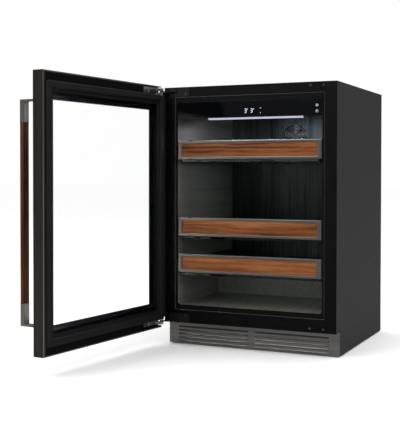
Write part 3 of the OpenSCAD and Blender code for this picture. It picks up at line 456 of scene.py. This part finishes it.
def skin_rings(name, rings, matrix=Matrix.Identity(4), capped=True):
    """Joins a row of rings, each with as many points, and closes the two ends."""
    count = len(rings[0])
    points = [point for ring in rings for point in ring]
    faces = []
    for row in range(len(rings) - 1):
        near, far = row * count, (row + 1) * count
        for step in range(count):
            turn = (step + 1) % count
            faces.append((near + step, near + turn, far + turn, far + step))
    if capped:
        faces.append(tuple(range(count)))
        faces.append(tuple(range(len(points) - count, len(points))))
    return mesh_from(name, points, faces, matrix)


def round_outline(low, high, radii, steps=6):
    """A rectangle's outline from two corners; radii go low-left, low-right, high-right, high-left."""
    corners = ((low[0], low[1], 1, 1), (high[0], low[1], -1, 1),
               (high[0], high[1], -1, -1), (low[0], high[1], 1, -1))
    points = []
    for index, (x, z, in_x, in_z) in enumerate(corners):
        radius = radii[index]
        if radius <= 0.0:
            points.append((x, z))
            continue
        centre_x = x + in_x * radius
        centre_z = z + in_z * radius
        start = math.radians(180 + 90 * index)
        for step in range(steps + 1):
            angle = start + math.radians(90) * step / steps
            points.append((centre_x + radius * math.cos(angle), centre_z + radius * math.sin(angle)))
    return points


def inset_outline(low, high, inset, radius):
    """A rounded rectangle in X and Z, drawn in on every side from a box's two corners."""
    return round_outline((low.x + inset, low.z + inset), (high.x - inset, high.z - inset), (radius,) * 4)


def plates(name, loops, matrix=Matrix.Identity(4), capped=True):
    """Skins a row of outlines, each (outline in X and Z, depth in Y)."""
    rings = [[(x, depth, z) for x, z in outline] for outline, depth in loops]
    return skin_rings(name, rings, matrix, capped)


def prism_mesh(name, outline, x_low, x_high, matrix=Matrix.Identity(4)):
    """A prism along X from its outline in Y and Z."""
    return skin_rings(name, [[(x, y, z) for y, z in outline] for x in (x_low, x_high)], matrix)


def upright_mesh(name, outline, z_low, z_high, matrix=Matrix.Identity(4)):
    """A prism along Z from its outline in X and Y."""
    return skin_rings(name, [[(x, y, z) for x, y in outline] for z in (z_low, z_high)], matrix)


def closed_frame(name, profile, low, high, matrix):
    """A mitred frame in the X-Z plane: each profile point is (inset, depth in Y), all in metres."""
    points, faces = [], []
    for inset, depth in profile:
        left, right = low[0] + inset, high[0] - inset
        bottom, top = low[1] + inset, high[1] - inset
        points += [(left, depth, bottom), (right, depth, bottom), (right, depth, top), (left, depth, top)]
    count = len(profile)
    for row in range(count):
        after = (row + 1) % count
        for corner in range(4):
            turn = (corner + 1) % 4
            faces.append((4 * row + corner, 4 * row + turn, 4 * after + turn, 4 * after + corner))
    return mesh_from(name, points, faces, matrix)


def block_mesh(name, low, high, matrix=Matrix.Identity(4)):
    """A block between two corners."""
    points = [(x, y, z) for x in (low[0], high[0]) for y in (low[1], high[1]) for z in (low[2], high[2])]
    faces = [(0, 1, 3, 2), (4, 5, 7, 6), (0, 1, 5, 4), (2, 3, 7, 6), (0, 2, 6, 4), (1, 3, 7, 5)]
    return mesh_from(name, points, faces, matrix)


# ---------------------------------------------------------------- the cabinet's pieces

def dress_nodes(look):
    """Every CAD node takes its slot's finish."""
    for node, thing in NODES.items():
        material = look[SLOT_OF[node]]
        if not thing.data.materials:
            thing.data.materials.append(material)
        for slot in thing.material_slots:
            slot.material = material


def control_glass(look):
    """The control panel: a gloss glass plate with rounded upper corners."""
    corner = 9 * MM
    low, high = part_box("control_panel")
    outline = round_outline((low.x, low.z), (high.x, high.z), (0.0, 0.0, corner, corner))
    mesh = plates("control_glass", [(outline, low.y), (outline, high.y)])
    piece = new_piece("control_glass", mesh, "cabinet", look["panel_glass"],
                      ("control_panel",))
    soften(piece, 0.6)


def shelf_fascia(look, number):
    """A shelf's steel front, with rounded edges and a sunk, round-cornered tray for the insert."""
    low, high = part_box(f"shelf_front_{number}")
    wood_low, wood_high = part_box(f"shelf_wood_{number}")
    edge = 0.8 * MM
    corner = 1.2 * MM
    tray_depth = 11 * MM

    def outer(inset):
        return inset_outline(low, high, inset, corner)

    def tray(grow):
        return inset_outline(wood_low, wood_high, -INSERT_GAP - grow, INSERT_RADIUS + grow)

    loops = [(outer(0.0), high.y),
             (outer(0.0), low.y + edge),
             (outer(0.25 * MM), low.y + 0.25 * MM),
             (outer(edge), low.y),
             (tray(0.5 * MM), low.y),
             (tray(0.1 * MM), low.y + 0.2 * MM),
             (tray(0.0), low.y + 0.6 * MM),
             (tray(0.0), low.y + tray_depth)]
    name = f"shelf_fascia_{number}"
    piece = new_piece(name, plates(name, loops), f"shelf_{number}",
                      look["front_steel"], (f"shelf_front_{number}",), True)
    shade_by_angle(piece)


def walnut_insert(look, number):
    """The wooden insert in a shelf's front, with a rounded rim."""
    low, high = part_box(f"shelf_wood_{number}")
    rim = 0.9 * MM
    radius = INSERT_RADIUS - INSERT_GAP

    def insert(inset):
        return inset_outline(low, high, inset, radius - inset)

    loops = [(insert(0.0), high.y),
             (insert(0.0), low.y + rim),
             (insert(0.3 * rim), low.y + 0.3 * rim),
             (insert(rim), low.y)]
    name = f"walnut_insert_{number}"
    piece = new_piece(name, plates(name, loops), f"shelf_{number}",
                      look["walnut"], (f"shelf_wood_{number}",), True)
    shade_by_angle(piece)


def shelf_black_blocks(look, number):
    """Small black blocks on the upper and lower edge of a shelf's front, near its left end."""
    low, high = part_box(f"shelf_front_{number}")
    left, right = low.x + 36 * MM, low.x + 52 * MM
    front, back = low.y - 0.9 * MM, low.y + 7 * MM
    lap, proud = 1.5 * MM, 1.6 * MM
    meshes = [block_mesh("black_block", (left, front, high.z - lap), (right, back, high.z + proud)),
              block_mesh("black_block", (left, front, low.z - proud), (right, back, low.z + lap))]
    name = f"shelf_black_blocks_{number}"
    piece = new_piece(name, joined(name, meshes), f"shelf_{number}", look["shelf_black"])
    soften(piece, 0.8, 3)


def opening_lip(look):
    """A fine bead round the cabinet's opening, on the step between the frame's two bands, in a grey far lighter
    than the frame: a painted highlight along the step.
    """
    low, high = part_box("front_frame")
    side, top, bottom = 39 * MM, 33 * MM, 43 * MM
    step = 1 * MM
    width = 1.3 * MM
    sunk = 0.02 * MM
    left, right = low.x + side, high.x - side
    floor_z, roof_z = low.z + bottom, high.z - top

    def ring(inset):
        return round_outline((left + inset, floor_z + inset), (right - inset, roof_z - inset),
                             (1.4 * MM,) * 4, 4)

    loops = [(ring(sunk), low.y + step),
             (ring(sunk), low.y + 0.25 * MM),
             (ring(0.35 * width), low.y + 0.05 * MM),
             (ring(0.75 * width), low.y + 0.3 * MM),
             (ring(width), low.y + step)]
    mesh = plates("opening_lip", loops, capped=False)
    piece = new_piece("opening_lip", mesh, "cabinet", look["lip"], (), True)
    shade_by_angle(piece, 60.0)


def side_strip(look):
    """A soft black strip on the hinge side that closes the gap beside the door."""
    low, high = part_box("front_frame")
    clear_of_hinge = 16 * MM
    profile = [(0.0, 0.0), (0.2, -8.0), (0.9, -11.0), (1.8, -11.0), (2.0, -8.0), (3.2, 0.0)]
    outline = [(low.x + across * MM, low.y + depth * MM) for across, depth in profile]
    mesh = upright_mesh("side_strip", outline, low.z + clear_of_hinge, high.z - clear_of_hinge)
    piece = new_piece("side_strip", mesh, "cabinet", look["gasket"], (), True)
    shade_by_angle(piece, 50.0)


def light_bar(look):
    """A rounded diffuser between two end caps, under the control housing."""
    low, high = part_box("led_strip")
    middle = (low.y + high.y) / 2
    cap = 3.0 * MM
    drop = high.z - low.z
    half = (high.y - low.y) / 2
    right_side = [(0.2, -0.97), (0.42, -0.86), (0.55, -0.62), (0.86, -0.5), (1.0, -0.35), (1.0, 0.0)]
    left_side = [(-across, down) for across, down in reversed(right_side)]
    profile = left_side + [(0.0, -1.0)] + right_side

    def bar(name, x_low, x_high, grow):
        outline = [(middle + across * half * grow, high.z + down * drop * grow) for across, down in profile]
        return prism_mesh(name, outline, x_low, x_high)

    lens = bar("light_lens", low.x + cap, high.x - cap, 0.97)
    new_piece("light_lens", lens, "cabinet", look["led"], ("led_strip",))
    left_cap = bar("cap_left", low.x, low.x + cap, 1.0)
    right_cap = bar("cap_right", high.x - cap, high.x, 1.0)
    caps = joined("light_caps", [left_cap, right_cap])
    soften(new_piece("light_caps", caps, "cabinet", look["housing_black"]), 0.3)


# ---------------------------------------------------------------- the door's pieces

def handle_hooks(look):
    """The handle's two steel ends: an arm from the door and a short bar towards the grip."""
    low, high = closed_box("handle_bar")
    grip_low, grip_high = closed_box("handle_grip")
    arm, bar = 6 * MM, BAR_DEPTH
    meshes = []
    for end, grip_end, inwards in ((high.z, grip_high.z, -1), (low.z, grip_low.z, 1)):
        inner = end + inwards * arm
        outline = [(low.y, end), (high.y, end), (high.y, inner), (low.y + bar, inner),
                   (low.y + bar, grip_end), (low.y, grip_end)]
        meshes.append(prism_mesh("hook", outline, low.x, high.x, door_matrix()))
    piece = new_piece("handle_hooks", joined("handle_hooks", meshes), "door",
                      look["handle_steel"], ("handle_bar",))
    soften(piece, 0.8, 3)


def walnut_grip(look):
    """The handle's wooden grip, with round edges and a rounded rim at each end."""
    low, high = closed_box("handle_grip")
    radius = 4.5 * MM
    rim = 0.8 * MM
    outline = round_outline((low.x, low.y), (high.x, high.y), (radius,) * 4)
    length = high.z - low.z
    middle_x, middle_y = (low.x + high.x) / 2, (low.y + high.y) / 2

    def ring(inset, reach):
        shrink_x = 1.0 - inset / (high.x - middle_x)
        shrink_y = 1.0 - inset / (high.y - middle_y)
        return [(middle_x + (x - middle_x) * shrink_x, middle_y + (y - middle_y) * shrink_y, low.z + reach)
                for x, y in outline]

    rings = [ring(rim, 0.0), ring(0.3 * rim, 0.3 * rim), ring(0.0, rim), ring(0.0, length - rim),
             ring(0.3 * rim, length - 0.3 * rim), ring(rim, length)]
    mesh = skin_rings("walnut_grip", rings, door_matrix())
    piece = new_piece("walnut_grip", mesh, "door", look["grip_walnut"], ("handle_grip",), True)
    shade_by_angle(piece)


def grip_collars(look):
    """A thin dark collar where each hook meets the grip."""
    low, high = closed_box("handle_bar")
    grip_low, grip_high = closed_box("handle_grip")
    proud = 0.35 * MM
    half = 1.2 * MM
    ring = round_outline((low.x - proud, low.y - proud), (high.x + proud, low.y + BAR_DEPTH + proud),
                         (1.2 * MM,) * 4)
    for name, place in (("collar_top", grip_high.z), ("collar_bottom", grip_low.z)):
        mesh = upright_mesh(name, ring, place - half, place + half, door_matrix())
        soften(new_piece(name, mesh, "door", look["collar"]), 0.3)


def gasket(look):
    """The door's seal: a ribbed flange and a bellows bulb, mitred at the corners."""
    low, high = closed_box("door_gasket")
    profile = [(0.0, 0.2), (0.0, 2.2), (-1.2, 4.6), (0.2, 6.0), (-1.6, 7.4), (-1.4, 9.6), (0.6, 11.0),
               (5.8, 11.35), (7.4, 10.7), (8.6, 10.7), (10.2, 11.35), (15.6, 10.9), (18.0, 9.3),
               (18.9, 7.2), (18.1, 5.8), (18.9, 4.4), (19.0, 3.0), (19.8, 2.2), (20.8, 2.2), (21.3, 2.9),
               (22.3, 2.9), (22.8, 2.2), (23.8, 2.2), (24.3, 2.9), (25.3, 2.9), (25.8, 2.2), (26.8, 2.2),
               (27.3, 2.9), (28.4, 2.9), (29.0, 2.2), (29.0, 0.2)]
    mesh = closed_frame("gasket_seal", [(inset * MM, low.y + depth * MM) for inset, depth in profile],
                        (low.x, low.z), (high.x, high.z), door_matrix())
    new_piece("gasket_seal", mesh, "door", look["gasket"], ("door_gasket",))


def border_mesh(name, pane_low, pane_high, depth, film, clear_low, clear_high):
    """A thin closed frame on a pane: from just inside its edge to the clear glass's two corners."""
    edge = 0.4 * MM
    outer = (pane_low.x + edge, pane_low.z + edge, pane_high.x - edge, pane_high.z - edge)
    inner = (clear_low[0], clear_low[1], clear_high[0], clear_high[1])
    points, faces = [], []
    for y in (depth, depth + film):
        for x0, z0, x1, z1 in (outer, inner):
            points += [(x0, y, z0), (x1, y, z0), (x1, y, z1), (x0, y, z1)]
    for corner in range(4):
        turn = (corner + 1) % 4
        for a, b in ((0, 4), (8, 12), (0, 8), (4, 12)):
            faces.append((a + corner, a + turn, b + turn, b + corner))
    return mesh_from(name, points, faces, door_matrix())


def glass_borders(look):
    """The black printed border on each pane, on the face that looks into the sealed gap."""
    low, high = closed_box("door_skin")
    inner_low, inner_high = closed_box("door_glass_inner")
    outer_low, outer_high = closed_box("door_glass_outer")
    film = 0.15 * MM
    wide_side, narrow_side = 54.0 * MM, 25.0 * MM
    end = 78.5 * MM
    clear_high = (high.x - wide_side, high.z - end)
    for name, pane_low, pane_high, depth, hinge_side in (
            ("border_inner", inner_low, inner_high, inner_low.y - 1.5 * film, wide_side),
            ("border_outer", outer_low, outer_high, outer_high.y + 0.5 * film, narrow_side)):
        clear_low = (low.x + hinge_side, low.z + end)
        mesh = border_mesh(name, pane_low, pane_high, depth, film, clear_low, clear_high)
        new_piece(name, mesh, "door", look["frit"])


def bevel_painted_highlights(look):
    """Strips of lighter steel on the bevel of the door's free side, top and bottom: a painted highlight where the
    bevel catches the light.
    """
    low, high = closed_box("door_skin")
    gap = 0.8 * MM
    past_hinge = 130 * MM
    profile = [(0.05, -4.35), (1.7, -2.7), (1.7, -3.1), (0.2, -4.6)]
    upright = [(high.x - inset * MM, high.y + depth * MM) for inset, depth in profile]
    meshes = [upright_mesh("bevel", upright, low.z + gap, high.z - gap, door_matrix())]
    for place, inwards in ((high.z, -1), (low.z, 1)):
        level = [(high.y + depth * MM, place + inwards * inset * MM) for inset, depth in profile]
        meshes.append(prism_mesh("bevel", level, low.x + past_hinge, high.x - gap, door_matrix()))
    new_piece("bevel_painted_highlights", joined("bevel_painted_highlights", meshes), "door", look["painted_highlight_steel"])


# ---------------------------------------------------------------- the scene

def make_floor():
    """A plain floor: white to the camera, darker in the light that it throws back on the object."""
    reach = 30
    corners = [(-reach, -reach, 0), (reach, -reach, 0), (reach, reach, 0), (-reach, reach, 0)]
    mesh = mesh_from("floor", corners, [(0, 1, 2, 3)])
    floor = bpy.data.objects.new("floor", mesh)
    bpy.context.scene.collection.objects.link(floor)
    finish = Finish("floor", Roughness=0.9, Emission_Strength=0.03, Specular_IOR_Level=0.1)
    finish.shader.inputs["Emission Color"].default_value = (1.0, 1.0, 1.0, 1.0)
    cloud = finish.noise(3.0, 3.0, 0.5)
    seen = finish.ramp(cloud, [(0.3, (0.985, 0.985, 0.985)), (0.7, (0.995, 0.995, 0.995))])
    bounced = finish.ramp(cloud, [(0.3, (0.22, 0.22, 0.22)), (0.7, (0.26, 0.26, 0.26))])
    path = finish.tree.nodes.new("ShaderNodeLightPath")
    direct = finish.tree.nodes.new("ShaderNodeMath")
    direct.operation = "MAXIMUM"
    finish.tree.links.new(path.outputs["Is Camera Ray"], direct.inputs[0])
    finish.tree.links.new(path.outputs["Is Transmission Ray"], direct.inputs[1])
    finish.link(finish.blend(bounced, seen, direct.outputs[0]), "Base Color")
    mesh.materials.append(finish.material)


make_camera()
make_world()
bpy.context.scene.view_settings.view_transform = "Standard"
area_light("key", (-1.6, -3.2, 3.0), (0.0, 0.0, 0.45), (2.2, 1.6), 60.0, (1.0, 0.99, 0.97))
area_light("fill", (2.3, -0.9, 2.7), (0.3, 0.0, 0.5), (1.4, 1.4), 18.0, (0.98, 0.99, 1.0))
area_light("crown", (0.0, 0.4, 3.4), (0.0, 0.0, 0.8), (2.4, 2.0), 26.0, (1.0, 1.0, 1.0))
area_light("cavity", (0.0, -0.212, 0.75), (0.0, -0.14, 0.4), (0.34, 0.012), 1.2, (0.80, 0.80, 1.0))
look = make_materials()
dress_nodes(look)
control_glass(look)
for number in (1, 2, 3):
    shelf_fascia(look, number)
    walnut_insert(look, number)
handle_hooks(look)
walnut_grip(look)
grip_collars(look)
opening_lip(look)
side_strip(look)
gasket(look)
glass_borders(look)
bevel_painted_highlights(look)
light_bar(look)
for number in (1, 2, 3):
    shelf_black_blocks(look, number)
make_floor()
